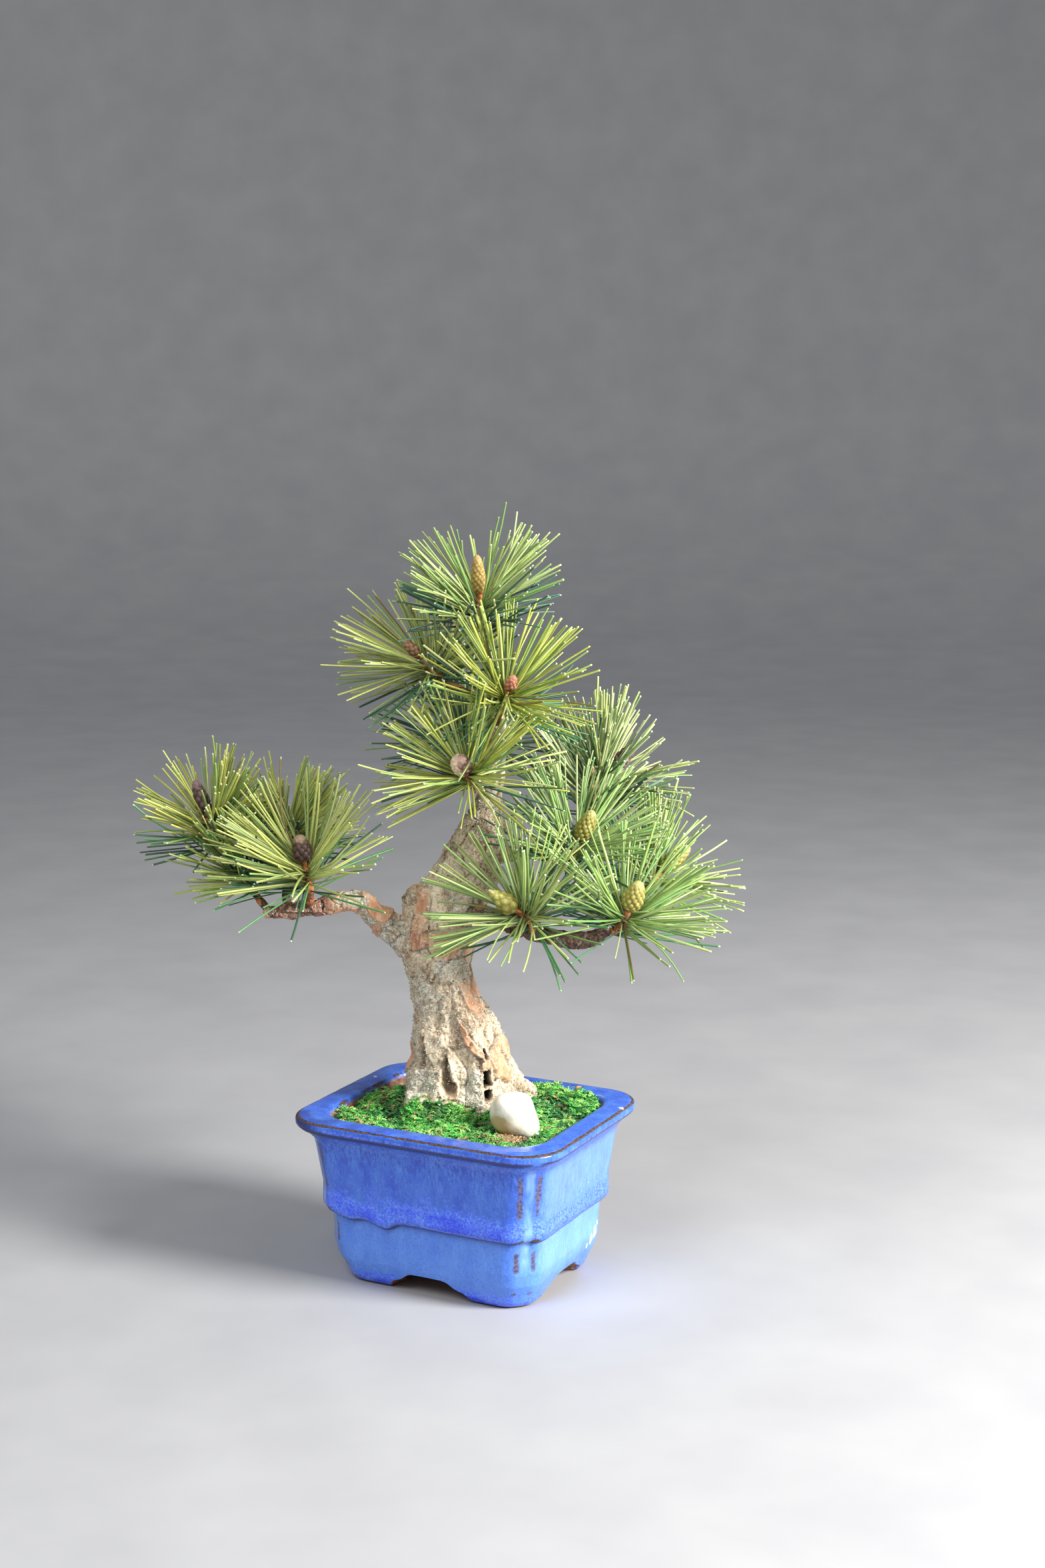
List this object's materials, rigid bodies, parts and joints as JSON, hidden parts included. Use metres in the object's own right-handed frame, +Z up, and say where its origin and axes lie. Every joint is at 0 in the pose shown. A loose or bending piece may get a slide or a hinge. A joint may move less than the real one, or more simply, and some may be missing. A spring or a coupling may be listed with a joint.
{
  "type": "potted bonsai tree",
  "caption": "Small pine bonsai: a flared woody trunk, drooping branches and tufts of long needles with buds, standing in moss in a blue glazed rectangular footed pot.",
  "frame": {"origin": "middle of the whole object's footprint, on the surface that the pot's feet stand on", "axes": "+Z up; +X along the pot's long side; the tree's best side faces between +X and -Y, 27 degrees from -Y"},
  "size_m": [0.2676, 0.1992, 0.3344],
  "materials": {
    "glaze": "glossy mottled cobalt-blue glaze, brown where it breaks over the edges",
    "soil": "loose crumbly matt soil",
    "moss": "curly matt moss",
    "stone": "smooth water-worn stone",
    "pebble": "matt pebble",
    "bark": "rough flaking bark with orange inner plates and pale fibres",
    "bark_dark": "rough dark bark",
    "needles": "satin green needles with pale tips",
    "bud_green": "waxy scaled bud",
    "bud_brown": "dry scaled bud"
  },
  "bodies": {
    "root": {"pot": "glaze", "soil": "soil", "moss": "moss", "white_stone": "stone", "tan_pebble": "pebble", "trunk": "bark", "branch_left": "bark", "branch_right": "bark_dark", "branch_back": "bark", "twig_apex": "bark_dark", "twig_upper_left": "bark_dark", "twig_upper_front": "bark_dark", "twig_middle_front": "bark_dark", "twig_middle_back": "bark_dark", "twig_right_back": "bark_dark", "twig_right_outer": "bark_dark", "twig_right_middle": "bark_dark", "twig_right_far": "bark_dark", "twig_right_front": "bark_dark", "twig_centre_front": "bark_dark", "twig_left_front": "bark_dark", "twig_left_outer": "bark_dark", "twig_left_back": "bark_dark", "bud_apex": "bud_green", "bud_upper_left": "bud_brown", "bud_upper_front": "bud_brown", "bud_middle_front": "bud_brown", "bud_right_back": "bud_brown", "bud_right_outer": "bud_brown", "bud_right_middle": "bud_green", "bud_right_far": "bud_green", "bud_right_front": "bud_green", "bud_centre_front": "bud_green", "bud_left_front": "bud_brown", "bud_left_outer": "bud_brown", "needles_apex": "needles", "needles_upper_left": "needles", "needles_upper_front": "needles", "needles_middle_front": "needles", "needles_middle_back": "needles", "needles_right_back": "needles", "needles_right_outer": "needles", "needles_right_middle": "needles", "needles_right_far": "needles", "needles_right_front": "needles", "needles_centre_front": "needles", "needles_left_front": "needles", "needles_left_outer": "needles", "needles_left_back": "needles"}
  },
  "joints": []
}
